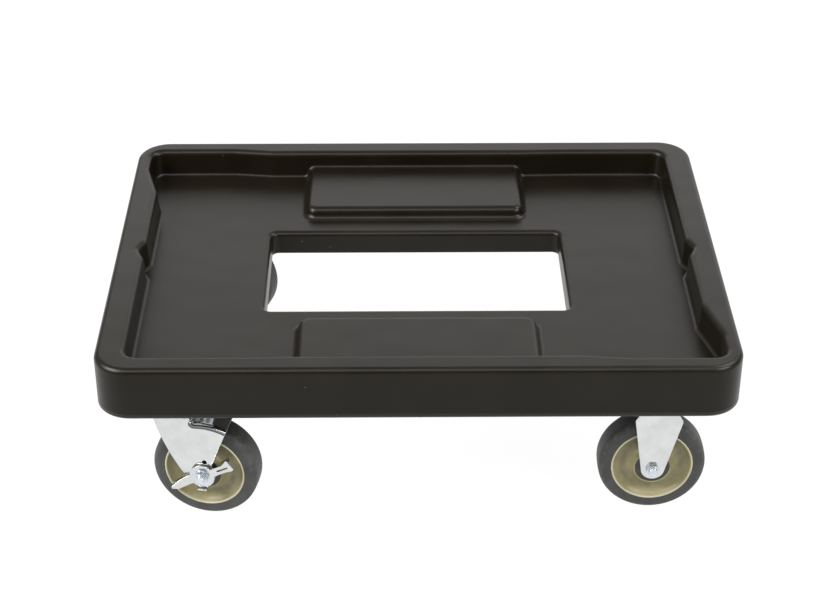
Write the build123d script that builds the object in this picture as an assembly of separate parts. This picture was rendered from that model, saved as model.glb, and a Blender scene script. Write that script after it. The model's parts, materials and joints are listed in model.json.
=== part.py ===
"""Food carrier dolly: a hollow moulded platform on two braked swivel casters and two rigid casters.

Millimetres. The origin is on the floor under the middle of the platform, +X runs along the platform
to the rigid casters, +Y to the back and +Z up.
"""
from build123d import *
from math import acos, atan2, cos, hypot, radians, sin, tan
import os

# Platform moulding
PLATFORM_LENGTH = 736.0
PLATFORM_DEPTH = 546.0
PLATFORM_HEIGHT = 67.0
PLATFORM_CORNER = 41.0
WALL = 5.0
RIM_EDGE = 7.0
SKIRT_EDGE = 4.0

# Well inside the rim: its wall steps out towards the corners, most at two opposite ones
WELL_DEPTH = 36.0
END_RIM = 34.7
SIDE_RIM = 32.0
WELL_CORNER = 17.0
WELL_DRAFT = 2.0
WELL_EDGE = 7.0
WELL_FOOT = 4.5
END_RELIEF = 16.2
END_RELIEF_LENGTH = 45.0
END_RELIEF_SLOPE = 62.0
SIDE_RELIEF = 6.0
SIDE_RELIEF_LENGTH = 109.5
SIDE_RELIEF_SLOPE = 50.0
CORNER_RELIEF = 1.6
CORNER_RELIEF_LENGTH = 139.5
CORNER_RELIEF_SLOPE = 55.0
STEP_RADIUS = 30.0
NOTCH_LENGTH = 37.0
NOTCH_DEPTH = 7.5
NOTCH_SHIFT = -6.5
NOTCH_MOUTH_RADIUS = 10.0
NOTCH_ROOT_RADIUS = 6.0

# Opening through the middle of the platform
OPENING_LENGTH = 367.6
OPENING_DEPTH = 182.2
OPENING_CORNER = 9.0
OPENING_SIDE_DRAFT = 1.2
OPENING_END_DRAFT = 0.3
OPENING_EDGE = 6.5
OPENING_FOOT = 3.0

# Raised pads between the opening and the two long walls
PAD_LENGTH = 285.5
PAD_SETBACK = 33.9
PAD_HEIGHT = 14.5
PAD_DRAFT = 17.0
PAD_CORNER = 15.0
PAD_EDGE = 8.0
PAD_FOOT = 8.0

# Caster places, measured in from the platform's edges
RIGID_INSET = 92.2
SWIVEL_INSET = 87.2
CASTER_SIDE_INSET = 60.6
FRONT_SWIVEL_YAW = -11.3
REAR_SWIVEL_YAW = -18.8

# Caster plates and their fasteners
PLATE_LENGTH = 95.0
PLATE_WIDTH = 67.0
PLATE_THICKNESS = 4.0
PLATE_CORNER = 8.0
BOLT_END_DISTANCE = 9.5
BOLT_SIDE_DISTANCE = 11.0
BOLT_RADIUS = 3.95
BOLT_HOLE_CLEARANCE = 0.45
BOLT_HEAD_ACROSS = 13.0
BOLT_HEAD_HEIGHT = 5.3
BOLT_END_GAP = 2.0
WASHER_RADIUS = 8.5
WASHER_THICKNESS = 1.6
WASHER_CLEARANCE = 0.25
INSERT_RADIUS = 6.5
INSERT_LENGTH = 14.0
THREAD_CLEARANCE = 0.05

# Wheel
WHEEL_RADIUS = 63.5
TYRE_WIDTH = 32.5
TYRE_CROWN_DROP = 1.0
TYRE_SHOULDER = 7.0
CORE_RADIUS = 48.3
CORE_WIDTH = 34.0
CORE_BEAD = 2.4
CORE_KEY_HEIGHT = 2.6
CORE_KEY_WIDTH = 12.0
WEB_THICKNESS = 16.0
HUB_RADIUS = 22.6
HUB_LENGTH = 38.5
GUARD_RADIUS = 20.6
GUARD_THICKNESS = 2.4
GUARD_DISH = 0.9
GUARD_CLEARANCE = 0.8
BEARING_RADIUS = 9.5

# Axles
AXLE_RADIUS = 4.75
AXLE_CLEARANCE = 0.1
SLEEVE_RADIUS = 6.35
RUNNING_CLEARANCE = 0.05
HUB_SIDE_CLEARANCE = 1.25
AXLE_HEX_ACROSS = 14.3
AXLE_HEX_HEIGHT = 6.0
AXLE_NUT_HEIGHT = 7.0
AXLE_NUT_COLLAR = 2.5
AXLE_NUT_COLLAR_RADIUS = 5.8
AXLE_TAIL = 0.5

# Forks, pressed from one sheet thickness
HEAD_HEIGHT = 38.0
FORK_SHEET = 3.2
FORK_BEND = 7.5
RIGID_NECK_WIDTH = 46.3
RIGID_SHOULDER_WIDTH = 55.3
RIGID_SHOULDER_DROP = 30.0
RIGID_SHOULDER_SLOPE = 8.0
RIGID_LEAN = 3.7
RIGID_END_RADIUS = 13.8
TRAIL = 33.2
NECK_LEAD = 24.3
LEADING_BOW = 5.3
HEEL_LEAD = 16.0
HEEL_DROP = 11.5
HEEL_RADIUS = 8.0
RISER_GAP = 2.2
RISER_CORNER = 8.0
HOOD_CLEARANCE = 4.0
HOOD_FOOT = 5.0
SWIVEL_END_RADIUS = 15.0
TRAILING_OFFSET = 5.4
TRAILING_LEAN = 21.5
TRAILING_BLEND = 9.0
SIGHT_HOLE_RADIUS = 3.0
SIGHT_HOLE_X = 2.9
SIGHT_HOLE_Z = 18.0

# Swivel head: two ball races on a kingpin
RACE_DEPTH = 10.0
RACE_MARGIN = 7.0
RACE_OVERHANG = 0.5
RACE_EDGE = 3.0
UPPER_BALL_RADIUS = 3.175
UPPER_BALL_CIRCLE = 24.0
UPPER_BALL_COUNT = 12
LOWER_BALL_RADIUS = 2.38
LOWER_BALL_CIRCLE = 12.0
LOWER_BALL_COUNT = 10
BALL_SEAT_DEPTH = 1.1
BALL_CLEARANCE = 0.15
LOWER_CUP_MARGIN = 3.6
LOWER_CUP_THICKNESS = 3.0
CROWN_HOLE_CLEARANCE = 1.0
KINGPIN_RADIUS = 6.0
KINGPIN_CLEARANCE = 0.05
KINGPIN_HEAD_RADIUS = 11.0
KINGPIN_HEAD_SINK = 4.0
KINGPIN_NUT_ACROSS = 18.0
KINGPIN_NUT_HEIGHT = 7.0
KINGPIN_TAIL = 1.0

# Side brake on the swivel axles; arm angles are in side view, from the trail direction upwards
CAM_THICKNESS = 1.6
CAM_RADIUS = 13.0
CAM_TAB_WIDTH = 11.0
CAM_TAB_GAP = 3.0
CAM_TAB_LIP = 6.0
LEVER_CLEARANCE = 0.3
LEVER_SHEET = 2.3
LEVER_HUB_RADIUS = 15.0
LEVER_BEND_RADIUS = 12.0
LEVER_TIP_RADIUS = 1.8
PEDAL_ANGLE = 206.0
PEDAL_LENGTH = 41.0
PEDAL_BEND_AT = 18.0
PEDAL_RISE = 9.0
PEDAL_WIDTH = 12.2
PEDAL_TAPER = 16.0
PEDAL_TIP_OFFSET = 2.2
RELEASE_ANGLE = 37.7
RELEASE_LENGTH = 46.3
RELEASE_BEND_AT = 18.0
RELEASE_RISE = 8.0
RELEASE_WIDTH = 10.0
RELEASE_OFFSET = 3.0
RELEASE_FLARE = 12.0
RELEASE_FLARE_UP = 4.5
RELEASE_FLARE_DOWN = 1.3
RELEASE_SLOT_LENGTH = 19.0
RELEASE_SLOT_WIDTH = 2.2
RELEASE_SLOT_AT = 30.5
FLANGE_START = 19.0
FLANGE_END_SETBACK = 3.0
FLANGE_CLEARANCE = 0.8
BRAKE_WASHER_RADIUS = 9.0
BRAKE_WASHER_THICKNESS = 1.0

# Heights that follow from the sizes above
AXLE_Z = WHEEL_RADIUS
UNDERSIDE = 2 * WHEEL_RADIUS + HEAD_HEIGHT
RIM_TOP = UNDERSIDE + PLATFORM_HEIGHT
FLOOR = RIM_TOP - WELL_DEPTH
PLATE_BOTTOM = UNDERSIDE - PLATE_THICKNESS
BOLT_SEAT = PLATE_BOTTOM - WASHER_THICKNESS
RACE_BOTTOM = PLATE_BOTTOM - RACE_DEPTH
UPPER_BALL_Z = RACE_BOTTOM - UPPER_BALL_RADIUS + BALL_SEAT_DEPTH
CROWN_TOP = UPPER_BALL_Z - UPPER_BALL_RADIUS + BALL_SEAT_DEPTH
CROWN_BOTTOM = CROWN_TOP - FORK_SHEET
LOWER_BALL_Z = CROWN_BOTTOM - LOWER_BALL_RADIUS + BALL_SEAT_DEPTH
CUP_TOP = LOWER_BALL_Z - LOWER_BALL_RADIUS + BALL_SEAT_DEPTH
CUP_BOTTOM = CUP_TOP - LOWER_CUP_THICKNESS
KINGPIN_NUT_BOTTOM = CUP_BOTTOM - KINGPIN_NUT_HEIGHT
KINGPIN_SEAT = RACE_BOTTOM + PLATE_THICKNESS

# Places and radii that follow from the sizes above
END_WALL = PLATFORM_LENGTH / 2 - END_RIM
SIDE_WALL = PLATFORM_DEPTH / 2 - SIDE_RIM
PAD_INNER = OPENING_DEPTH / 2 + PAD_SETBACK
RIGID_X = PLATFORM_LENGTH / 2 - RIGID_INSET
SWIVEL_X = SWIVEL_INSET - PLATFORM_LENGTH / 2
CASTER_Y = PLATFORM_DEPTH / 2 - CASTER_SIDE_INSET
CROWN_RADIUS = UPPER_BALL_CIRCLE + RACE_MARGIN
RACE_RADIUS = CROWN_RADIUS + RACE_OVERHANG
LOWER_CUP_RADIUS = LOWER_BALL_CIRCLE + LOWER_CUP_MARGIN
RISER_X = LOWER_CUP_RADIUS + RISER_GAP + FORK_SHEET
HOOD_RADIUS = WHEEL_RADIUS + HOOD_CLEARANCE + FORK_SHEET
AXLE_HOLE = AXLE_RADIUS + AXLE_CLEARANCE

# Distances out from a wheel's middle plane
GUARD_BACK = HUB_LENGTH / 2 - GUARD_THICKNESS
FORK_INSIDE = HUB_LENGTH / 2 + HUB_SIDE_CLEARANCE
FORK_FACE = FORK_INSIDE + FORK_SHEET
CAM_FACE = FORK_FACE + CAM_THICKNESS
LEVER_BACK = CAM_FACE + LEVER_CLEARANCE
LEVER_FACE = LEVER_BACK + LEVER_SHEET
BRAKE_WASHER_BACK = LEVER_FACE + LEVER_CLEARANCE
BRAKE_NUT_BACK = BRAKE_WASHER_BACK + BRAKE_WASHER_THICKNESS
FLANGE_BACK = FORK_FACE + FLANGE_CLEARANCE

# Half the span of a cut that is meant to pass right through
THROUGH = PLATFORM_LENGTH / 2

# Two places closer than this are one
TOUCH = 0.01


def prism(face, low, high):
    """A flat face in the XY plane, pulled up from one height to another."""
    return extrude(Pos(0, 0, low) * face, high - low)


def disc(radius, low, high):
    """A round plate about the Z axis between two heights."""
    return prism(Circle(radius), low, high)


def hexagon(across):
    """A hexagon, given its width across flats."""
    return RegularPolygon(across / 2, 6, major_radius=False)


def cross_bar(face, near, far):
    """A face drawn as (x, z) in side view, pulled along Y from near to far."""
    upright = Plane.XZ * face
    return extrude(Pos(0, near, 0) * upright, far - near, dir=(0, 1, 0))


def cross_disc(radius, near, far):
    """A round plate about the Y axis, from y = near to y = far."""
    return cross_bar(Circle(radius), near, far)


def level_face(solid, height):
    """The largest flat face of a solid at one height."""
    flat = solid.faces().filter_by(Axis.Z)
    return flat.filter_by_position(Axis.Z, height - TOUCH, height + TOUCH).sort_by(SortBy.AREA)[-1]


def round_outside(solid, height, radius):
    """A solid with the outer edge of its flat face at one height rounded."""
    return fillet(level_face(solid, height).outer_wire().edges(), radius)


def round_inside(solid, height, radius):
    """A solid with the inner edge of its flat face at one height rounded."""
    return fillet(level_face(solid, height).inner_wires()[0].edges(), radius)


def tangent_point(point, centre, radius, turn):
    """Where a line from a point touches a circle, on the side that turn (1 or -1) picks."""
    dx = point[0] - centre[0]
    dz = point[1] - centre[1]
    angle = atan2(dz, dx) + turn * acos(radius / hypot(dx, dz))
    return (centre[0] + radius * cos(angle), centre[1] + radius * sin(angle))


def well_outline():
    """The rim's inner wall in plan: two like runs, half a turn apart, and a notch in each end wall."""
    relief_end = END_WALL + END_RELIEF
    relief_side = SIDE_WALL + SIDE_RELIEF
    corner_step = END_WALL - CORNER_RELIEF_LENGTH
    side_step = SIDE_RELIEF_LENGTH - relief_end
    end_step = relief_side - END_RELIEF_LENGTH
    run = [
        (END_WALL, SIDE_WALL + CORNER_RELIEF, WELL_CORNER),
        (corner_step, SIDE_WALL + CORNER_RELIEF, STEP_RADIUS),
        (corner_step - CORNER_RELIEF_SLOPE, SIDE_WALL, STEP_RADIUS),
        (side_step + SIDE_RELIEF_SLOPE, SIDE_WALL, STEP_RADIUS),
        (side_step, relief_side, STEP_RADIUS),
        (-relief_end, relief_side, WELL_CORNER),
        (-relief_end, end_step, STEP_RADIUS),
        (-END_WALL, end_step - END_RELIEF_SLOPE, STEP_RADIUS),
    ]
    notch = [
        (-END_WALL, NOTCH_SHIFT + NOTCH_LENGTH / 2, NOTCH_MOUTH_RADIUS),
        (-END_WALL - NOTCH_DEPTH, NOTCH_SHIFT, NOTCH_ROOT_RADIUS),
        (-END_WALL, NOTCH_SHIFT - NOTCH_LENGTH / 2, NOTCH_MOUTH_RADIUS),
    ]
    turned_run = [(-x, -y, radius) for x, y, radius in run]
    far_notch = [(-x, y, radius) for x, y, radius in reversed(notch)]
    points = run + notch + turned_run + far_notch
    corners = [(x, y) for x, y, radius in points]
    radii = [radius for x, y, radius in points]
    return make_face(FilletPolyline(*corners, radius=radii, close=True))


def well():
    """The space inside the rim, with a drafted wall."""
    mouth = Pos(0, 0, RIM_TOP) * well_outline()
    return extrude(mouth, WELL_DEPTH, dir=(0, 0, -1), taper=WELL_DRAFT)


def wall_roots(body):
    """The edges along which the well's wall meets the floor and the pads."""
    walls = [face for face in well().faces() if abs(face.normal_at().Z) < sin(radians(2 * WELL_DRAFT))]
    low = body.edges().filter_by_position(Axis.Z, FLOOR - TOUCH, FLOOR + PAD_HEIGHT + TOUCH)
    return [edge for edge in low if min(wall.distance_to(edge @ 0.5) for wall in walls) < TOUCH]


def pad(side):
    """One raised pad: a low block with sloped sides and rounded edges that runs into the long wall."""
    depth = SIDE_WALL + SIDE_RIM - PAD_INNER
    block = Pos(0, 0, FLOOR) * RectangleRounded(PAD_LENGTH, depth, PAD_CORNER)
    base = Rectangle(PAD_LENGTH + 4 * PAD_FOOT, depth + 4 * PAD_FOOT)
    solid = prism(base, FLOOR - WALL, FLOOR) + extrude(block, PAD_HEIGHT, taper=PAD_DRAFT)
    solid = round_inside(solid, FLOOR, PAD_FOOT)
    solid = round_outside(solid, FLOOR + PAD_HEIGHT, PAD_EDGE)
    within_rim = Rectangle(PLATFORM_LENGTH, 2 * (SIDE_WALL + WALL))
    solid = Pos(0, side * (PAD_INNER + depth / 2), 0) * solid
    return solid & prism(within_rim, FLOOR - WALL, RIM_TOP)


def bolt_places():
    """Every mounting bolt's place under the platform."""
    span_x = PLATE_LENGTH - 2 * BOLT_END_DISTANCE
    span_y = PLATE_WIDTH - 2 * BOLT_SIDE_DISTANCE
    grid = GridLocations(span_x, span_y, 2, 2)
    return [Pos(x, y, 0) * hole for x in (SWIVEL_X, RIGID_X) for y in (-CASTER_Y, CASTER_Y) for hole in grid]


def platform_hollow():
    """The space inside the double wall, with a boss left standing round every insert."""
    section = RectangleRounded(PLATFORM_LENGTH - 2 * WALL, PLATFORM_DEPTH - 2 * WALL, PLATFORM_CORNER - WALL)
    hollow = prism(section, UNDERSIDE + WALL, RIM_TOP - WALL)
    hollow -= prism(offset(well_outline(), WALL), FLOOR - WALL, RIM_TOP)
    pad_inner = PAD_INNER + 2 * WALL
    pad_hollow = Rectangle(PAD_LENGTH - 4 * WALL, SIDE_WALL + WALL - pad_inner)
    for side in (-1, 1):
        middle = Pos(0, side * (SIDE_WALL + WALL + pad_inner) / 2, 0)
        hollow += middle * prism(pad_hollow, UNDERSIDE + WALL, FLOOR + PAD_HEIGHT - WALL)
    collar = Rectangle(OPENING_LENGTH + 2 * WALL, OPENING_DEPTH + 2 * WALL)
    hollow -= prism(collar, UNDERSIDE, FLOOR)
    boss = disc(INSERT_RADIUS + WALL, UNDERSIDE, UNDERSIDE + INSERT_LENGTH + WALL)
    return hollow - [place * boss for place in bolt_places()]


def drafted(width, draft):
    """A section of the opening, as wide as given at the floor and narrower at the underside."""
    top = width / 2
    low = top - (FLOOR - UNDERSIDE) * tan(radians(draft))
    return make_face(Polyline((-low, UNDERSIDE), (low, UNDERSIDE), (top, FLOOR), (-top, FLOOR), close=True))


def opening():
    """The space of the opening, with its own draft on each pair of walls and rounded upright corners."""
    between_ends = cross_bar(drafted(OPENING_LENGTH, OPENING_END_DRAFT), -THROUGH, THROUGH)
    between_sides = Rot(0, 0, 90) * cross_bar(drafted(OPENING_DEPTH, OPENING_SIDE_DRAFT), -THROUGH, THROUGH)
    space = between_ends & between_sides
    return fillet(space.edges().group_by(Axis.Z)[1], OPENING_CORNER)


def platform_shell():
    """The moulding: rim, stepped well, opening, pads, hollow inside and the insert pockets."""
    body = prism(RectangleRounded(PLATFORM_LENGTH, PLATFORM_DEPTH, PLATFORM_CORNER), UNDERSIDE, RIM_TOP)
    body -= well()
    body += [pad(side) for side in (-1, 1)]
    body = fillet(wall_roots(body), WELL_FOOT)
    body -= opening()
    body = round_inside(body, FLOOR, OPENING_EDGE)
    body = round_outside(body, RIM_TOP, RIM_EDGE)
    body = round_inside(body, RIM_TOP, WELL_EDGE)
    body = round_outside(body, UNDERSIDE, SKIRT_EDGE)
    body = round_inside(body, UNDERSIDE, OPENING_FOOT)
    body -= platform_hollow()
    pocket = disc(INSERT_RADIUS, UNDERSIDE, UNDERSIDE + INSERT_LENGTH)
    return body - [place * pocket for place in bolt_places()]


def threaded_insert():
    """A tapped bush moulded into the underside."""
    bush = Circle(INSERT_RADIUS) - Circle(BOLT_RADIUS + THREAD_CLEARANCE)
    return prism(bush, UNDERSIDE, UNDERSIDE + INSERT_LENGTH)


def mounting_bolt():
    """A hexagon head bolt, put in from below."""
    head = prism(hexagon(BOLT_HEAD_ACROSS), BOLT_SEAT - BOLT_HEAD_HEIGHT, BOLT_SEAT)
    return head + disc(BOLT_RADIUS, BOLT_SEAT, UNDERSIDE + INSERT_LENGTH - BOLT_END_GAP)


def mounting_washer():
    """A flat washer between a bolt head and the plate."""
    ring = Circle(WASHER_RADIUS) - Circle(BOLT_RADIUS + WASHER_CLEARANCE)
    return prism(ring, BOLT_SEAT, PLATE_BOTTOM)


def caster_plate():
    """A caster's flat top plate with its four bolt holes."""
    section = RectangleRounded(PLATE_LENGTH, PLATE_WIDTH, PLATE_CORNER)
    span_x = PLATE_LENGTH - 2 * BOLT_END_DISTANCE
    span_y = PLATE_WIDTH - 2 * BOLT_SIDE_DISTANCE
    section -= GridLocations(span_x, span_y, 2, 2) * Circle(BOLT_RADIUS + BOLT_HOLE_CLEARANCE)
    return prism(section, PLATE_BOTTOM, UNDERSIDE)


def ball_groove(circle, ball_radius, height):
    """The ring that a set of balls runs in, with its clearance."""
    return Pos(0, 0, height) * Torus(circle, ball_radius + BALL_CLEARANCE)


def ball_set(circle, ball_radius, height, count):
    """A ring of loose balls, one solid each."""
    return Pos(0, 0, height) * Compound(PolarLocations(circle, count) * Sphere(ball_radius))


def swivel_plate():
    """A swivel caster's plate, drawn down in the middle into a cup with the upper race under it."""
    cup = round_outside(disc(RACE_RADIUS, RACE_BOTTOM, UNDERSIDE), RACE_BOTTOM, RACE_EDGE)
    plate = caster_plate() + cup
    plate -= disc(RACE_RADIUS - PLATE_THICKNESS, KINGPIN_SEAT, UNDERSIDE)
    plate -= disc(KINGPIN_RADIUS + KINGPIN_CLEARANCE, RACE_BOTTOM, UNDERSIDE)
    return plate - ball_groove(UPPER_BALL_CIRCLE, UPPER_BALL_RADIUS, UPPER_BALL_Z)


def lower_race():
    """The cup that carries the lower balls and hangs on the kingpin's nut."""
    ring = Circle(LOWER_CUP_RADIUS) - Circle(KINGPIN_RADIUS + KINGPIN_CLEARANCE)
    cup = prism(ring, CUP_BOTTOM, CUP_TOP)
    return cup - ball_groove(LOWER_BALL_CIRCLE, LOWER_BALL_RADIUS, LOWER_BALL_Z)


def kingpin():
    """The bolt on the swivel axis, with its round head sunk in the plate's cup."""
    head = disc(KINGPIN_HEAD_RADIUS, KINGPIN_SEAT, UNDERSIDE - KINGPIN_HEAD_SINK)
    return head + disc(KINGPIN_RADIUS, KINGPIN_NUT_BOTTOM - KINGPIN_TAIL, KINGPIN_SEAT)


def kingpin_nut():
    """The hexagon nut under the lower race."""
    section = hexagon(KINGPIN_NUT_ACROSS) - Circle(KINGPIN_RADIUS + THREAD_CLEARANCE)
    return prism(section, KINGPIN_NUT_BOTTOM, CUP_BOTTOM)


def rigid_leg():
    """A rigid fork's side view: neck and sloped shoulders off to one side, and a round end at the axle."""
    neck = RIGID_NECK_WIDTH / 2
    shoulder = RIGID_SHOULDER_WIDTH / 2
    low = PLATE_BOTTOM - RIGID_SHOULDER_DROP
    high = low + RIGID_SHOULDER_SLOPE
    axle = (0.0, AXLE_Z)
    left = tangent_point((RIGID_LEAN - shoulder, low), axle, RIGID_END_RADIUS, 1)
    right = tangent_point((RIGID_LEAN + shoulder, low), axle, RIGID_END_RADIUS, -1)
    bottom = (0.0, AXLE_Z - RIGID_END_RADIUS)
    up = [(RIGID_LEAN - shoulder, low), (RIGID_LEAN - neck, high), (RIGID_LEAN - neck, PLATE_BOTTOM)]
    down = [(RIGID_LEAN + neck, PLATE_BOTTOM), (RIGID_LEAN + neck, high), (RIGID_LEAN + shoulder, low)]
    return make_face(Polyline(left, *up, *down, right) + ThreePointArc(right, bottom, left))


def rigid_fork():
    """A rigid fork: one sheet bent down on both sides of the wheel, with holes for the axle."""
    outside = Pos(0, 0, PLATE_BOTTOM / 2) * Box(2 * THROUGH, 2 * FORK_FACE, PLATE_BOTTOM)
    inside_top = PLATE_BOTTOM - FORK_SHEET
    inside = Pos(0, 0, inside_top / 2) * Box(2 * THROUGH, 2 * FORK_INSIDE, inside_top)
    outside = fillet(level_face(outside, PLATE_BOTTOM).edges().filter_by(Axis.X), FORK_BEND)
    inside = fillet(level_face(inside, inside_top).edges().filter_by(Axis.X), FORK_BEND - FORK_SHEET)
    bent_sheet = outside - inside
    leg = rigid_leg() - Pos(0, AXLE_Z) * Circle(AXLE_HOLE)
    return bent_sheet & cross_bar(leg, -FORK_FACE, FORK_FACE)


def roofed_block(half_width, inset):
    """The swivel fork's outside, or its inside at an inset of one sheet, as a long solid.

    Its roof runs level over the kingpin, steps down at the riser and then follows the wheel.
    """
    riser = RISER_X - inset
    top = CROWN_TOP - inset
    hood = HOOD_RADIUS - inset
    foot_z = AXLE_Z + (hood**2 - (TRAIL - riser) ** 2) ** 0.5
    hood_start = (riser, foot_z)
    hood_middle = (TRAIL + hood * sin(radians(45)), AXLE_Z + hood * cos(radians(45)))
    hood_end = (TRAIL + hood, AXLE_Z)
    walls = [hood_end, (TRAIL + hood, 0), (-THROUGH, 0), (-THROUGH, top), (riser, top), hood_start]
    roof = make_face(Polyline(*walls) + ThreePointArc(hood_start, hood_middle, hood_end))
    block = cross_bar(roof, -half_width, half_width)
    riser_foot = block.edges().filter_by(Axis.Y).sort_by_distance((riser, 0, foot_z))[0]
    block = fillet(riser_foot, HOOD_FOOT + inset)
    riser_corner = block.edges().filter_by(Axis.Y).sort_by_distance((riser, 0, top))[0]
    block = fillet(riser_corner, RISER_CORNER - inset)
    level_edges = level_face(block, top).edges().filter_by(Axis.X)
    return fillet(level_edges, FORK_BEND - inset)


def swivel_leg():
    """The swivel fork's side view: a broad neck that sweeps back, with a bowed leading edge, to the axle."""
    axle = (TRAIL, AXLE_Z)
    lead = (-NECK_LEAD, CROWN_TOP)
    heel = (TRAIL - HEEL_LEAD, AXLE_Z - HEEL_DROP)
    toe = tangent_point(heel, axle, SWIVEL_END_RADIUS, 1)
    foot = (TRAIL + TRAILING_OFFSET, AXLE_Z)
    trailing_top = (foot[0] + tan(radians(TRAILING_LEAN)) * (CROWN_TOP - AXLE_Z), CROWN_TOP)
    leading_edge = SagittaArc(lead, heel, -LEADING_BOW)
    leg = make_face(leading_edge + Polyline(heel, toe, axle, foot, trailing_top, lead))
    leg += Pos(*axle) * Circle(SWIVEL_END_RADIUS)
    crotch = leg.vertices().filter_by_position(Axis.X, foot[0], trailing_top[0]).sort_by(Axis.Y)[0]
    leg = fillet(crotch, TRAILING_BLEND)
    leg = fillet(leg.vertices().sort_by_distance(heel)[0], HEEL_RADIUS)
    leg -= Pos(*axle) * Circle(AXLE_HOLE)
    return leg - Pos(TRAIL + SIGHT_HOLE_X, AXLE_Z + SIGHT_HOLE_Z) * Circle(SIGHT_HOLE_RADIUS)


def swivel_fork():
    """A swivel fork: round crown between the ball races, hood over the wheel and two legs."""
    bent_sheet = roofed_block(FORK_FACE, 0) - roofed_block(FORK_INSIDE, FORK_SHEET)
    fork = bent_sheet & cross_bar(swivel_leg(), -FORK_FACE, FORK_FACE)
    fork += disc(CROWN_RADIUS, CROWN_BOTTOM, CROWN_TOP)
    fork -= disc(KINGPIN_RADIUS + CROWN_HOLE_CLEARANCE, CROWN_BOTTOM, CROWN_TOP)
    fork -= ball_groove(UPPER_BALL_CIRCLE, UPPER_BALL_RADIUS, UPPER_BALL_Z)
    return fork - ball_groove(LOWER_BALL_CIRCLE, LOWER_BALL_RADIUS, LOWER_BALL_Z)


def tyre():
    """A crowned rubber tyre with a groove inside that locks on the core's key."""
    half = TYRE_WIDTH / 2
    shoulder = WHEEL_RADIUS - TYRE_CROWN_DROP
    tread = ThreePointArc((shoulder, -half), (WHEEL_RADIUS, 0), (shoulder, half))
    inside = Polyline((shoulder, half), (CORE_RADIUS, half), (CORE_RADIUS, -half), (shoulder, -half))
    section = make_face(tread + inside)
    section = fillet(section.vertices().group_by(Axis.X)[-1], TYRE_SHOULDER)
    key = Pos(CORE_RADIUS, 0) * Rectangle(2 * CORE_KEY_HEIGHT, CORE_KEY_WIDTH)
    return revolve(section - key, Axis.Y)


def core():
    """A moulded wheel core: keyed seat, beaded lips, dished web and a long hub."""
    half_key = CORE_KEY_WIDTH / 2
    lip = CORE_WIDTH / 2
    bead = CORE_BEAD / 2
    inner_lip = CORE_RADIUS - CORE_BEAD
    key_top = CORE_RADIUS + CORE_KEY_HEIGHT
    web = ((inner_lip + HUB_RADIUS) / 2, WEB_THICKNESS / 2)
    outside = [(BEARING_RADIUS, 0), (key_top, 0), (key_top, half_key), (CORE_RADIUS, half_key)]
    outside.append((CORE_RADIUS, lip - bead))
    hub = [(HUB_RADIUS, HUB_LENGTH / 2), (GUARD_RADIUS, HUB_LENGTH / 2), (GUARD_RADIUS, GUARD_BACK)]
    hub += [(BEARING_RADIUS, GUARD_BACK), (BEARING_RADIUS, 0)]
    outline = Polyline(*outside) + Polyline(*hub)
    outline += ThreePointArc(outside[-1], (CORE_RADIUS - bead, lip), (inner_lip, lip - bead))
    outline += ThreePointArc((inner_lip, lip - bead), web, hub[0])
    half = make_face(outline)
    return revolve(half + mirror(half, Plane.XZ), Axis.Y)


def bearing():
    """The plain bush pressed into the hub, which turns on the axle sleeve."""
    ring = Circle(BEARING_RADIUS) - Circle(SLEEVE_RADIUS + RUNNING_CLEARANCE)
    return cross_bar(ring, -GUARD_BACK, GUARD_BACK)


def thread_guards():
    """The two dished rings that close the ends of the hub."""
    inner = SLEEVE_RADIUS + GUARD_CLEARANCE
    face = HUB_LENGTH / 2
    back = [(inner, GUARD_BACK), (GUARD_RADIUS, GUARD_BACK)]
    front = [(GUARD_RADIUS, face), (inner, face - GUARD_DISH)]
    guard = revolve(make_face(Polyline(*back, *front, close=True)), Axis.Y)
    return Compound([guard, mirror(guard, Plane.XZ)])


def axle_sleeve():
    """The steel tube that the axle bolt clamps between the two legs."""
    tube = Circle(SLEEVE_RADIUS) - Circle(AXLE_HOLE)
    return cross_bar(tube, -FORK_INSIDE, FORK_INSIDE)


def axle_nut(seat):
    """A lock nut with a round collar, seated on the near side at y = -seat."""
    hex_end = -seat - AXLE_NUT_HEIGHT + AXLE_NUT_COLLAR
    nut = cross_bar(hexagon(AXLE_HEX_ACROSS), hex_end, -seat)
    nut += cross_disc(AXLE_NUT_COLLAR_RADIUS, hex_end - AXLE_NUT_COLLAR, hex_end)
    return nut - cross_disc(AXLE_RADIUS + THREAD_CLEARANCE, -seat - AXLE_NUT_HEIGHT, -seat)


def axle(seat):
    """An axle bolt: hexagon head on the far side, and a shank that just passes the nut at y = -seat."""
    head = cross_bar(hexagon(AXLE_HEX_ACROSS), FORK_FACE, FORK_FACE + AXLE_HEX_HEIGHT)
    return head + cross_disc(AXLE_RADIUS, -seat - AXLE_NUT_HEIGHT - AXLE_TAIL, FORK_FACE)


def brake_cam():
    """The plate behind the lever: a disc with a tab that is turned out at its lower end."""
    reach = LEVER_HUB_RADIUS + CAM_TAB_GAP
    tab = Pos(0, -reach / 2) * Rectangle(CAM_TAB_WIDTH, reach)
    plate = Circle(CAM_RADIUS) + tab - Circle(AXLE_HOLE)
    lip = Pos(0, CAM_THICKNESS / 2 - reach) * Rectangle(CAM_TAB_WIDTH, CAM_THICKNESS)
    return cross_bar(plate, -CAM_FACE, -FORK_FACE) + cross_bar(lip, -CAM_FACE - CAM_TAB_LIP, -CAM_FACE)


def pedal_plan():
    """The pedal's outline: a strip that narrows to an off-centre tip."""
    half = PEDAL_WIDTH / 2
    taper = PEDAL_LENGTH - PEDAL_TAPER
    tip = (PEDAL_LENGTH, -PEDAL_TIP_OFFSET)
    corners = [(0, -half), (taper, -half), tip, (taper + PEDAL_TAPER / 2, half - PEDAL_TIP_OFFSET), (0, half)]
    bends = [0, LEVER_BEND_RADIUS, LEVER_TIP_RADIUS, LEVER_TIP_RADIUS, 0]
    return make_face(FilletPolyline(*corners, radius=bends, close=True))


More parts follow.
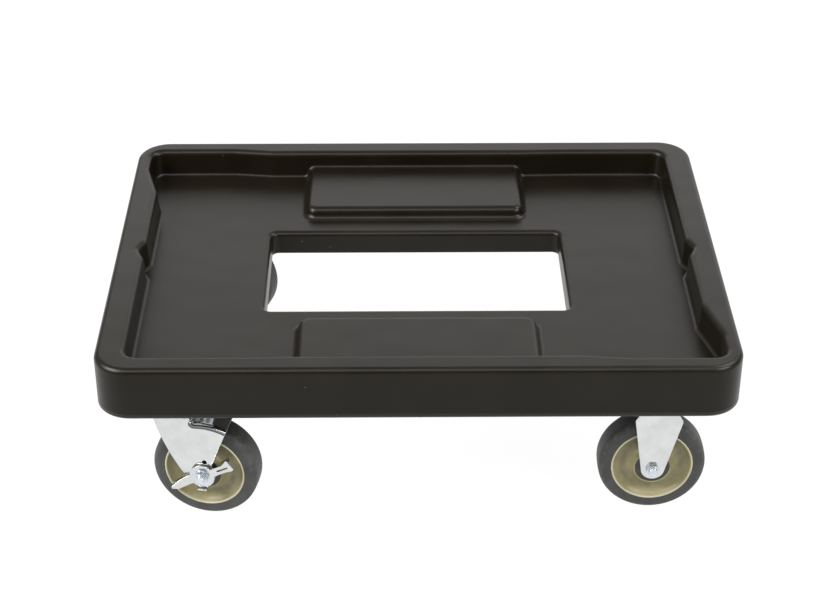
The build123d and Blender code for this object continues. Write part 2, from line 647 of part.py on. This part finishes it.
def release_plan():
    """The release arm's outline: a strip with a flared end and a slot along it."""
    half = RELEASE_WIDTH / 2
    flare = RELEASE_LENGTH - RELEASE_FLARE
    lower = [(0, -half), (flare, -half), (flare + RELEASE_FLARE / 2, -half - RELEASE_FLARE_DOWN)]
    upper = [(RELEASE_LENGTH, half + RELEASE_FLARE_UP), (flare, half), (0, half)]
    bends = [0, LEVER_BEND_RADIUS, LEVER_TIP_RADIUS, LEVER_TIP_RADIUS, LEVER_TIP_RADIUS, LEVER_BEND_RADIUS, 0]
    corners = [*lower, (RELEASE_LENGTH, -half), *upper]
    plan = make_face(FilletPolyline(*corners, radius=bends, close=True))
    plan -= Pos(RELEASE_SLOT_AT, 0) * SlotOverall(RELEASE_SLOT_LENGTH, RELEASE_SLOT_WIDTH)
    return Pos(0, -RELEASE_OFFSET) * plan


def lever_arm(length, bend_at, rise, plan):
    """One arm of the brake lever, along +X: a sheet that bends outwards, cut to its outline."""
    back = [(0, -LEVER_BACK), (bend_at, -LEVER_BACK), (length, -LEVER_BACK - rise)]
    front = [(x, y - LEVER_SHEET) for x, y in reversed(back)]
    bends = [0, LEVER_BEND_RADIUS, 0, 0, LEVER_BEND_RADIUS, 0]
    strip = make_face(FilletPolyline(*back, *front, radius=bends, close=True))
    return extrude(strip, LEVER_HUB_RADIUS, both=True) & cross_bar(plan, -THROUGH, THROUGH)


def pedal_flange_line():
    """Where the pedal's flange stands, in side view: along the narrowing edge near the tip."""
    start = (PEDAL_LENGTH - PEDAL_TAPER, -PEDAL_WIDTH / 2)
    tip = (PEDAL_LENGTH, -PEDAL_TIP_OFFSET)
    inner = [(x, z + LEVER_SHEET) for x, z in (tip, start)]
    return make_face(Polyline(start, tip, *inner, close=True)) & pedal_plan()


def release_flange_line():
    """Where the release arm's flange stands, in side view: along its upper edge."""
    length = RELEASE_LENGTH - FLANGE_END_SETBACK - FLANGE_START
    height = (RELEASE_WIDTH - LEVER_SHEET) / 2 - RELEASE_OFFSET
    return Pos(FLANGE_START + length / 2, height) * Rectangle(length, LEVER_SHEET)


def arm_flange(length, bend_at, rise, line, back):
    """A flange that is folded back from one edge of an arm, as far as y = -back."""
    middle = LEVER_BACK + LEVER_SHEET / 2
    outline = [(0, -back), (length, -back), (length, -middle - rise), (bend_at, -middle), (0, -middle)]
    depth = make_face(Polyline(*outline, close=True))
    return extrude(depth, LEVER_HUB_RADIUS, both=True) & cross_bar(line, -THROUGH, THROUGH)


def brake_lever():
    """The rocker lever on the axle: a round hub with a pedal and a release arm, both flanged."""
    pedal_bend = (PEDAL_LENGTH, PEDAL_BEND_AT, PEDAL_RISE)
    release_bend = (RELEASE_LENGTH, RELEASE_BEND_AT, RELEASE_RISE)
    pedal = lever_arm(*pedal_bend, pedal_plan())
    pedal += arm_flange(*pedal_bend, pedal_flange_line(), FLANGE_BACK)
    release = lever_arm(*release_bend, release_plan())
    release += arm_flange(*release_bend, release_flange_line(), FORK_INSIDE)
    lever = cross_disc(LEVER_HUB_RADIUS, -LEVER_FACE, -LEVER_BACK)
    lever += Rot(0, -PEDAL_ANGLE, 0) * pedal
    lever += Rot(0, -RELEASE_ANGLE, 0) * release
    return lever - cross_disc(AXLE_RADIUS + RUNNING_CLEARANCE, -THROUGH, 0)


def brake_washer():
    """The washer between the lever and the axle nut."""
    ring = Circle(BRAKE_WASHER_RADIUS) - Circle(AXLE_HOLE)
    return cross_bar(ring, -BRAKE_NUT_BACK, -BRAKE_WASHER_BACK)


def wheel():
    """The pieces of one wheel, about the Y axis."""
    return {"core": core(), "tyre": tyre(), "bearing": bearing(), "thread_guards": thread_guards()}


def swivel_head():
    """The pieces of a swivel caster that stay with the platform, about the kingpin."""
    upper = (UPPER_BALL_CIRCLE, UPPER_BALL_RADIUS, UPPER_BALL_Z, UPPER_BALL_COUNT)
    lower = (LOWER_BALL_CIRCLE, LOWER_BALL_RADIUS, LOWER_BALL_Z, LOWER_BALL_COUNT)
    return {
        "plate": swivel_plate(),
        "upper_balls": ball_set(*upper),
        "lower_balls": ball_set(*lower),
        "lower_race": lower_race(),
        "kingpin": kingpin(),
        "kingpin_nut": kingpin_nut(),
    }


def swivel_axle_set():
    """The pieces on a swivel caster's axle, about the Y axis."""
    return {
        "axle": axle(BRAKE_NUT_BACK),
        "axle_sleeve": axle_sleeve(),
        "axle_nut": axle_nut(BRAKE_NUT_BACK),
        "brake_cam": brake_cam(),
        "brake_lever": brake_lever(),
        "brake_washer": brake_washer(),
    } | wheel()


def rigid_axle_set():
    """The pieces on a rigid caster's axle, about the Y axis."""
    return {"axle": axle(FORK_FACE), "axle_sleeve": axle_sleeve(), "axle_nut": axle_nut(FORK_FACE)} | wheel()


def save(node, place, shape):
    """Write one node, stood at its place, with each of its solids kept apart."""
    solids = (place * shape).solids()
    export_step(Compound(children=solids), f"parts/{node}.step")


def save_casters():
    """Write both swivel and both rigid casters, all with their axle nuts to the front."""
    swivel_top = swivel_head()
    swivel_bottom = swivel_axle_set()
    swivel_yoke = swivel_fork()
    rigid_top = {"plate": caster_plate(), "fork": rigid_fork()}
    rigid_bottom = rigid_axle_set()
    for name, y, yaw in (("front", -CASTER_Y, FRONT_SWIVEL_YAW), ("rear", CASTER_Y, REAR_SWIVEL_YAW)):
        head = Pos(SWIVEL_X, y, 0)
        turned = head * Rot(0, 0, yaw)
        save(f"{name}_swivel_fork", turned, swivel_yoke)
        for piece, shape in swivel_top.items():
            save(f"{name}_swivel_{piece}", head, shape)
        for piece, shape in swivel_bottom.items():
            save(f"{name}_swivel_{piece}", turned * Pos(TRAIL, 0, AXLE_Z), shape)
    for name, y in (("front", -CASTER_Y), ("rear", CASTER_Y)):
        stand = Pos(RIGID_X, y, 0)
        for piece, shape in rigid_top.items():
            save(f"{name}_rigid_{piece}", stand, shape)
        for piece, shape in rigid_bottom.items():
            save(f"{name}_rigid_{piece}", stand * Pos(0, 0, AXLE_Z), shape)


def save_platform():
    """Write the platform and the fasteners that hold the casters to it."""
    here = Pos(0, 0, 0)
    save("platform_shell", here, platform_shell())
    fasteners = {"threaded_inserts": threaded_insert(), "mounting_bolts": mounting_bolt()}
    fasteners["mounting_washers"] = mounting_washer()
    for node, shape in fasteners.items():
        save(node, here, Compound([place * shape for place in bolt_places()]))


os.makedirs("parts", exist_ok=True)
save_platform()
save_casters()
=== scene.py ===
"""A four-wheeled dolly for insulated food carriers, dressed for a studio picture.

A hollow moulded platform with a sunk well stands on two swivel casters with brakes and two rigid casters.
"""

import bpy
import json
import math
import numpy as np
from mathutils import Matrix, Vector


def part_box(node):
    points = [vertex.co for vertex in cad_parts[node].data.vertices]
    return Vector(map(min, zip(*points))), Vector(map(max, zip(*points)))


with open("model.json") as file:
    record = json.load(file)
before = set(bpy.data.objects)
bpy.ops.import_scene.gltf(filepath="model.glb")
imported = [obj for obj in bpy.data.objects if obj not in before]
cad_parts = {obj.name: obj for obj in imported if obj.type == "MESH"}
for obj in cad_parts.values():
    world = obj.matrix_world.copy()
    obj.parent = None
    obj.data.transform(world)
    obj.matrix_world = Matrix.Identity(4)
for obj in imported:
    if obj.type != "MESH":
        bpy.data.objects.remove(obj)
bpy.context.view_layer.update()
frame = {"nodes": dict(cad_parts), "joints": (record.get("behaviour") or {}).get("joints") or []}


# Platform shell
# One hollow moulding of black polyethylene, made in a heated turning mould. The mould's blasted walls leave a
# fine satin grain, cooling leaves the walls slightly uneven, and the mould's two halves leave a fine ridge
# where they meet, above the turned-in foot of the skirt.
class Wire:
    """A shader socket. Arithmetic on wires adds Math nodes, and node() adds a node of any other kind."""

    MIX_FACTOR = 0
    MIX_FIRST = 6
    MIX_SECOND = 7
    MIX_RESULT = 2
    SPECK_CORE = 0.6
    CHANCE_EDGE = 0.01

    def __init__(self, tree, socket=None):
        self.tree = tree
        self.socket = socket

    def node(self, kind, settings=None, inputs=None, output=0):
        """Adds one node, makes its settings, then sets or links its inputs, and wraps one of its outputs."""
        made = self.tree.nodes.new("ShaderNode" + kind)
        for name, value in (settings or {}).items():
            setattr(made, name, value)
        for name, value in (inputs or {}).items():
            if isinstance(value, Wire):
                self.tree.links.new(value.socket, made.inputs[name])
            else:
                made.inputs[name].default_value = value
        return Wire(self.tree, made.outputs[output] if made.outputs else None)

    def maths(self, operation, first, second=0.0):
        """One Math node on two wires or numbers."""
        return self.node("Math", {"operation": operation}, {0: first, 1: second})

    def __add__(self, other):
        return self.maths("ADD", self, other)

    __radd__ = __add__

    def __sub__(self, other):
        return self.maths("SUBTRACT", self, other)

    def __mul__(self, other):
        return self.maths("MULTIPLY", self, other)

    __rmul__ = __mul__

    def __pow__(self, other):
        return self.maths("POWER", self, other)

    def axes(self, names):
        """The named axes of this wire's coordinates, one wire each."""
        return [self.node("SeparateXYZ", inputs={"Vector": self}, output=name) for name in names]

    def noise(self, scale, detail=2.0, roughness=0.5):
        """Cloudy noise from 0 to 1 at this wire's coordinates, with that many clouds to the metre."""
        inputs = {"Vector": self, "Scale": scale, "Detail": detail, "Roughness": roughness}
        return self.node("TexNoise", inputs=inputs)

    def specks(self, scale, size, share):
        """1 inside round specks and 0 outside them. There are that many cells to the metre, a speck's radius
        is that part of a cell, and that share of the cells has one."""
        settings = {"feature": "F1"}
        inputs = {"Vector": self, "Scale": scale}
        near = self.node("TexVoronoi", settings, inputs, "Distance")
        cell = self.node("TexVoronoi", settings, inputs, "Color")
        chance = self.node("SeparateColor", inputs={"Color": cell})
        bare = 1.0 - share
        return near.step(size, self.SPECK_CORE * size) * chance.step(bare, bare + self.CHANCE_EDGE)

    def wave(self, pitch):
        """A sine wave from 0 to 1 along this wire, of that many radians to the metre."""
        return 0.5 + 0.5 * self.maths("SINE", self * pitch)

    def step(self, low, high):
        """A smooth step from 0 at low to 1 at high, in either order."""
        inputs = {"Value": self, "From Min": low, "From Max": high}
        return self.node("MapRange", {"interpolation_type": "SMOOTHSTEP"}, inputs)

    def blend(self, first, second):
        """The first colour where this wire is 0, the second where it is 1."""
        inputs = {self.MIX_FACTOR: self, self.MIX_FIRST: first, self.MIX_SECOND: second}
        return self.node("Mix", {"data_type": "RGBA"}, inputs, self.MIX_RESULT)


BEVEL_SAMPLES = 8


def object_place(name):
    """Starts a material of that name and gives it with a wire on its Object coordinates."""
    material = bpy.data.materials.new(name)
    material.use_nodes = True
    material.node_tree.nodes.clear()
    return material, Wire(material.node_tree).node("TexCoord", output="Object")


def surface(material, wire, colour, roughness, relief=None, height=0.0, edge=0.0, **constants):
    """Ends a material in one Principled shader, with relief from 0 to 1 standing that many metres high, and
    with sharp edges shaded as if they were rounded to the edge radius."""
    inputs = {"Base Color": colour, "Roughness": roughness}
    for name, value in constants.items():
        inputs[name.replace("_", " ")] = value
    if relief is not None:
        bump = {"Height": relief, "Strength": 1.0, "Distance": height}
        if edge:
            bump["Normal"] = wire.node("Bevel", {"samples": BEVEL_SAMPLES}, {"Radius": edge})
        inputs["Normal"] = wire.node("Bump", inputs=bump)
    shader = wire.node("BsdfPrincipled", inputs=inputs)
    wire.node("OutputMaterial", inputs={"Surface": shader})
    return material


def dress(material, *nodes):
    """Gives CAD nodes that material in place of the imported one."""
    for name in nodes:
        slots = frame["nodes"][name].data.materials
        slots.clear()
        slots.append(material)


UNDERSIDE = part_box("platform_shell")[0][2]
SKIRT_FOOT = 0.0074
FOOT_END = 0.0015
FOOT_TURN = 1.3
RIDGE_LOW = SKIRT_FOOT - 0.0005
RIDGE_HIGH = SKIRT_FOOT + 0.0010
RIDGE_FLANK = 0.0007
RIDGE_RISE = 0.15
OPENING_REACH = 0.22
SKIRT_REACH = 0.25


def skirt_relief(place):
    """The turn of the skirt's foot below its parting ridge, and the ridge, kept off the opening's walls."""
    across, along, up = place.axes("XYZ")
    outside = ((across * across + along * along) ** 0.5).step(OPENING_REACH, SKIRT_REACH)
    height = up - UNDERSIDE
    foot = height.step(SKIRT_FOOT, FOOT_END)
    ridge = height.step(RIDGE_LOW, RIDGE_LOW + RIDGE_FLANK)
    ridge = ridge * height.step(RIDGE_HIGH, RIDGE_HIGH - RIDGE_FLANK)
    return outside * (RIDGE_RISE * ridge - FOOT_TURN * foot)


def moulded_plastic():
    """Satin black polyethylene: fine grain, slow unevenness, patchy sheen and a few pale specks of dust."""
    deep = (0.0048, 0.0034, 0.0015, 1.0)
    lighter_tone = (0.0066, 0.0050, 0.0026, 1.0)
    dusty = (0.16, 0.15, 0.13, 1.0)
    material, place = object_place("moulded_plastic")
    sheen = place.noise(scale=11.0, detail=3.0, roughness=0.6)
    grain = place.noise(scale=1500.0, detail=2.0, roughness=0.6)
    waves = place.noise(scale=13.0, detail=1.0)
    dust = place.specks(scale=55.0, size=0.035, share=0.12)
    colour = sheen.step(low=0.35, high=0.7).blend(deep, lighter_tone)
    colour = dust.blend(colour, dusty)
    roughness = 0.24 + 0.10 * sheen + 0.05 * grain + 0.3 * dust
    relief = 0.96 * waves + 0.04 * grain + skirt_relief(place)
    return surface(material, place, colour, roughness, relief, height=0.0012, Specular_IOR_Level=0.218)


dress(moulded_plastic(), "platform_shell")


# Threaded inserts
# Turned brass bushes, four to a caster, moulded into the platform's underside. The mounting bolts screw into
# them, because the plastic alone would not hold a thread.
def insert_brass():
    """Turned brass, dulled in patches."""
    bright = (0.72, 0.53, 0.26, 1.0)
    dull = (0.50, 0.35, 0.17, 1.0)
    material, place = object_place("insert_brass")
    tarnish = place.noise(scale=160.0, detail=3.0)
    colour = tarnish.step(low=0.3, high=0.7).blend(bright, dull)
    return surface(material, place, colour, 0.24 + 0.2 * tarnish, Metallic=1.0)


dress(insert_brass(), "threaded_inserts")


# Mounting bolts and washers
# Zinc-plated steel fasteners with the bluish tint of their clear passivation. Four bolts, each on its washer,
# hold a caster's plate to the platform.
def fastener_zinc():
    """Blue-bright zinc on turned steel: cloudy tint and sheen, and fine pitting."""
    blue = (0.56, 0.63, 0.70, 1.0)
    pale = (0.70, 0.73, 0.75, 1.0)
    material, place = object_place("fastener_zinc")
    tint = place.noise(scale=210.0, detail=2.0)
    pits = place.noise(scale=2600.0, detail=2.0)
    colour = tint.step(low=0.3, high=0.7).blend(blue, pale)
    roughness = 0.10 + 0.14 * tint + 0.05 * pits
    return surface(material, place, colour, roughness, pits, height=0.00001, edge=0.0006, Metallic=1.0)


FASTENER_ZINC = fastener_zinc()
dress(FASTENER_ZINC, "mounting_bolts", "mounting_washers")


# Caster plates and forks
# Pressed steel with a bright zinc finish, one plate and one fork to a caster. Pressing leaves the faces
# slightly wavy, so reflections wander on them, and it leaves the edges a little rounded.
def bright_zinc(name, smooth, rough, waviness):
    """Bright plate on pressed steel: wavy faces, cloudy sheen and faint drawing lines."""
    bright = (0.68, 0.69, 0.693, 1.0)
    dull = (0.61, 0.62, 0.623, 1.0)
    drawing = (60.0, 60.0, 900.0)
    material, place = object_place(name)
    cloud = place.noise(scale=42.0, detail=3.0, roughness=0.6)
    waves = place.noise(scale=30.0, detail=1.0)
    drawn = place.node("Mapping", inputs={"Vector": place, "Scale": drawing})
    lines = drawn.noise(scale=1.0, detail=1.0)
    colour = cloud.step(low=0.3, high=0.7).blend(bright, dull)
    roughness = smooth + (rough - smooth) * cloud + 0.03 * lines
    return surface(material, place, colour, roughness, waves, height=waviness, edge=0.0011, Metallic=1.0)


CASTERS = ("front_swivel", "rear_swivel", "front_rigid", "rear_rigid")
SWIVELS = CASTERS[:2]
FORK_ZINC = bright_zinc("fork_zinc", smooth=0.07, rough=0.18, waviness=0.0005)
dress(FORK_ZINC, *[caster + "_plate" for caster in CASTERS], *[caster + "_fork" for caster in CASTERS])


# Swivel bearing
# Two rings of hardened balls above and below each swivel fork's crown, a pressed lower race, and the kingpin
# with its nut that holds the stack together.
def bearing_steel():
    """Ground bearing steel under a thin film of grease."""
    ground = (0.62, 0.62, 0.62, 1.0)
    greasy = (0.36, 0.31, 0.22, 1.0)
    material, place = object_place("bearing_steel")
    film = place.noise(scale=300.0, detail=3.0)
    colour = film.step(low=0.35, high=0.75).blend(ground, greasy)
    return surface(material, place, colour, 0.10 + 0.25 * film, Metallic=1.0)


dress(bearing_steel(), *[f"{swivel}_{side}_balls" for swivel in SWIVELS for side in ("upper", "lower")])
dress(FORK_ZINC, *[swivel + "_lower_race" for swivel in SWIVELS])
dress(FASTENER_ZINC, *[swivel + "_kingpin" for swivel in SWIVELS])
dress(FASTENER_ZINC, *[swivel + "_kingpin_nut" for swivel in SWIVELS])


# Wheels
# A grey rubber tyre moulded round a tan plastic core, with a plastic bush in its bore and a dark thread guard
# let into each end of the hub.
WHEEL_RADIUS = 0.0635
SHOULDER = 0.010
TREAD_EDGE = 0.001
MOULD_RINGS = 4200.0
CORE_RADIUS = 0.0483
LIP_WIDTH = 0.0034
LIP_CREST = 0.0014
GROOVE_INNER = (0.029, 0.033)
GROOVE_OUTER = (0.040, 0.036)


def from_axle(wire, wheel):
    """Distance from the wheel's axle, which is the joint that the wheel rolls on."""
    joint = next(joint for joint in frame["joints"] if joint["child"] == wheel + "_wheel")
    yaw = math.atan2(-joint["axis"][0], joint["axis"][1])
    inputs = {"Vector": wire, "Location": joint["pos_m"], "Rotation": (0.0, 0.0, yaw)}
    local = wire.node("Mapping", {"vector_type": "TEXTURE"}, inputs)
    across, up = local.axes("XZ")
    return (across * across + up * up) ** 0.5


def tyre_rubber(wheel):
    """Grey moulded rubber: mould bloom, scuffed tread shoulders and fine mould rings on the walls."""
    dark = (0.034, 0.034, 0.0328, 1.0)
    bloomed = (0.055, 0.055, 0.0527, 1.0)
    scuffed = (0.085, 0.085, 0.082, 1.0)
    material, place = object_place(wheel + "_tyre_rubber")
    radius = from_axle(place, wheel)
    bloom = place.noise(scale=34.0, detail=4.0, roughness=0.6)
    grain = place.noise(scale=1900.0, detail=2.0, roughness=0.6)
    scuff = radius.step(WHEEL_RADIUS - SHOULDER, WHEEL_RADIUS - TREAD_EDGE)
    scuff = scuff * place.noise(scale=150.0, detail=4.0, roughness=0.65).step(low=0.45, high=0.75)
    colour = bloom.step(low=0.3, high=0.75).blend(dark, bloomed)
    colour = scuff.blend(colour, scuffed)
    roughness = 0.46 + 0.16 * bloom + 0.1 * scuff
    relief = 0.8 * grain + 0.2 * radius.wave(MOULD_RINGS)
    return surface(material, place, colour, roughness, relief, height=0.00005, Specular_IOR_Level=0.35)


def core_plastic(wheel):
    """Tan moulded plastic, paler on its lip, with cloudy flow marks and painted shade in the deep of the
    dish.
    """
    tan = (0.200, 0.179, 0.088, 1.0)
    pale = (0.260, 0.237, 0.128, 1.0)
    # Painted shade colour for the deepest ring of the dish's groove.
    groove_shade_colour = (0.13, 0.11, 0.06, 1.0)
    lighter_tone = (0.43, 0.405, 0.285, 1.0)
    material, place = object_place(wheel + "_core_plastic")
    radius = from_axle(place, wheel)
    flow = place.noise(scale=38.0, detail=4.0, roughness=0.6)
    grain = place.noise(scale=1700.0, detail=2.0)
    # The lip is coloured a paler tan than the face of the core.
    lip = radius.step(CORE_RADIUS - LIP_WIDTH, CORE_RADIUS - LIP_CREST)
    # Painted shade: the deepest ring of the dish's groove is darkened in patches, standing in for the shade
    # that falls there.
    groove = radius.step(*GROOVE_INNER) * radius.step(*GROOVE_OUTER)
    groove_shade = groove * place.noise(scale=90.0, detail=3.0).step(low=0.3, high=0.7)
    colour = flow.step(low=0.3, high=0.75).blend(tan, pale)
    colour = (0.65 * groove_shade).blend(colour, groove_shade_colour)
    colour = lip.blend(colour, lighter_tone)
    return surface(material, place, colour, 0.36 + 0.12 * flow, grain, height=0.00002)


def hub_plastic(name, dark, pale):
    """Injection-moulded plastic, clouded between two shades, with a fine grain."""
    material, place = object_place(name)
    cloud = place.noise(scale=120.0, detail=3.0)
    grain = place.noise(scale=2400.0, detail=2.0)
    colour = cloud.step(low=0.35, high=0.75).blend(dark, pale)
    return surface(material, place, colour, 0.42 + 0.14 * cloud, grain, height=0.00003)


GUARD_PLASTIC = hub_plastic("guard_plastic", dark=(0.022, 0.021, 0.020, 1.0), pale=(0.040, 0.039, 0.037, 1.0))
BUSH_PLASTIC = hub_plastic("bush_plastic", dark=(0.30, 0.29, 0.26, 1.0), pale=(0.38, 0.37, 0.33, 1.0))
for caster in CASTERS:
    dress(tyre_rubber(caster), caster + "_tyre")
    dress(core_plastic(caster), caster + "_core")
    dress(GUARD_PLASTIC, caster + "_thread_guards")
    dress(BUSH_PLASTIC, caster + "_bearing")


# Axles
# A bolt through each fork, a sleeve between the legs that the wheel turns on, and a lock nut. All are plated
# like the mounting bolts.
for part in ("axle", "axle_sleeve", "axle_nut"):
    dress(FASTENER_ZINC, *[f"{caster}_{part}" for caster in CASTERS])


# Brakes
# A cam plate and a two-armed rocker lever of pressed steel on each swivel caster's outer leg, under a washer.
# The lever has a smoother plating than the fork.
LEVER_CHROME = bright_zinc("lever_chrome", smooth=0.05, rough=0.14, waviness=0.0004)
dress(LEVER_CHROME, *[swivel + "_brake_lever" for swivel in SWIVELS])
dress(FORK_ZINC, *[swivel + "_brake_cam" for swivel in SWIVELS])
dress(FASTENER_ZINC, *[swivel + "_brake_washer" for swivel in SWIVELS])


# Studio
# A plain white floor and pale surroundings, with five softboxes: one overhead to the right, a large one
# behind, a wide one over the camera, a strong one from the left and one from the right.
FLOOR_SIZE = 30.0
FLOOR_POINTS = 3
WARM_WHITE = (1.0, 0.99, 0.97)
COOL_WHITE = (0.97, 0.985, 1.0)
CAMERA_PLACE = (-0.02933, -2.05465, 1.45397)
CAMERA_TURN = -0.010185
CAMERA_TILT = 0.565075
CAMERA_ROLL = 0.001447
CAMERA_LENS = 85.206
SENSOR_WIDTH = 36.0


def floor_paint():
    """White painted floor with hardly visible clouding, which shines by itself and so stays white."""
    dark = (0.050, 0.050, 0.050, 1.0)
    pale = (0.056, 0.056, 0.056, 1.0)
    white = (1.0, 1.0, 1.0, 1.0)
    material, place = object_place("floor_paint")
    colour = place.noise(scale=1.5, detail=2.0).blend(dark, pale)
    return surface(material, place, colour, 0.7, Specular_IOR_Level=0.0, Emission_Color=white,
                   Emission_Strength=0.97)


def floor_grid():
    """A flat square at the height of the wheels' feet: x and y step evenly from side to side, and z is 0."""
    side = np.linspace(-FLOOR_SIZE / 2, FLOOR_SIZE / 2, FLOOR_POINTS)
    across, along = np.meshgrid(side, side, indexing="ij")
    return np.stack([across, along, np.zeros_like(across)], -1)


def grid_mesh(name, points):
    """A mesh of quads on an array of points of shape (u, v, 3)."""
    rows, columns = points.shape[:2]
    index = np.arange(rows * columns).reshape(rows, columns)
    quads = np.stack([index[:-1, :-1], index[1:, :-1], index[1:, 1:], index[:-1, 1:]], -1)
    mesh = bpy.data.meshes.new(name)
    mesh.from_pydata(points.reshape(-1, 3), [], quads.reshape(-1, 4))
    made = bpy.data.objects.new(name, mesh)
    bpy.context.scene.collection.objects.link(made)
    return made


floor = grid_mesh("floor", floor_grid())
floor.data.materials.append(floor_paint())


def softbox(name, place, target, size, power, colour=WARM_WHITE):
    """A rectangular soft light at a place, facing a target, unseen by the camera itself."""
    light = bpy.data.lights.new(name, "AREA")
    light.shape = "RECTANGLE"
    light.size, light.size_y = size
    light.energy = power
    light.color = colour
    made = bpy.data.objects.new(name, light)
    made.location = place
    made.rotation_euler = (Vector(target) - Vector(place)).to_track_quat("-Z", "Y").to_euler()
    made.visible_camera = False
    bpy.context.scene.collection.objects.link(made)


def surroundings():
    """White light from all round, strongest from above and behind and faint low down on the camera's side."""
    world = bpy.data.worlds.new("surroundings")
    world.use_nodes = True
    world.node_tree.nodes.clear()
    heading = Wire(world.node_tree).node("TexCoord", output="Generated")
    back, up = heading.axes("YZ")
    strength = 0.18 + 0.40 * up.step(low=0.10, high=0.85) + 0.30 * back.step(low=-0.5, high=0.6)
    shader = heading.node("Background", inputs={"Strength": strength})
    heading.node("OutputWorld", inputs={"Surface": shader})
    return world


softbox("overhead_softbox", place=(1.6, 0.3, 2.3), target=(0.0, 0.0, 0.2), size=(1.2, 1.2), power=34.0)
softbox("back_softbox", place=(0.9, 3.2, 1.8), target=(0.9, 0.0, 1.8), size=(5.0, 2.8), power=47.0,
        colour=COOL_WHITE)
softbox("front_softbox", place=(-0.2, -1.25, 2.0), target=(-0.2, 0.0, 0.2), size=(2.0, 0.8), power=21.0)
softbox("left_softbox", place=(-1.9, -0.85, 1.7), target=(0.0, 0.0, 0.2), size=(1.5, 1.5), power=100.0)
softbox("right_softbox", place=(1.9, -1.35, 1.65), target=(0.0, 0.0, 0.15), size=(1.2, 1.0), power=44.0)
bpy.context.scene.world = surroundings()
bpy.context.scene.view_settings.view_transform = "Standard"

camera = bpy.data.objects.new("camera", bpy.data.cameras.new("camera"))
camera.data.sensor_width = SENSOR_WIDTH
camera.data.lens = CAMERA_LENS
camera.matrix_world = (
    Matrix.Translation(CAMERA_PLACE)
    @ Matrix.Rotation(CAMERA_TURN, 4, "Z")
    @ Matrix.Rotation(math.pi / 2 - CAMERA_TILT, 4, "X")
    @ Matrix.Rotation(CAMERA_ROLL, 4, "Z")
)
bpy.context.scene.collection.objects.link(camera)
bpy.context.scene.camera = camera
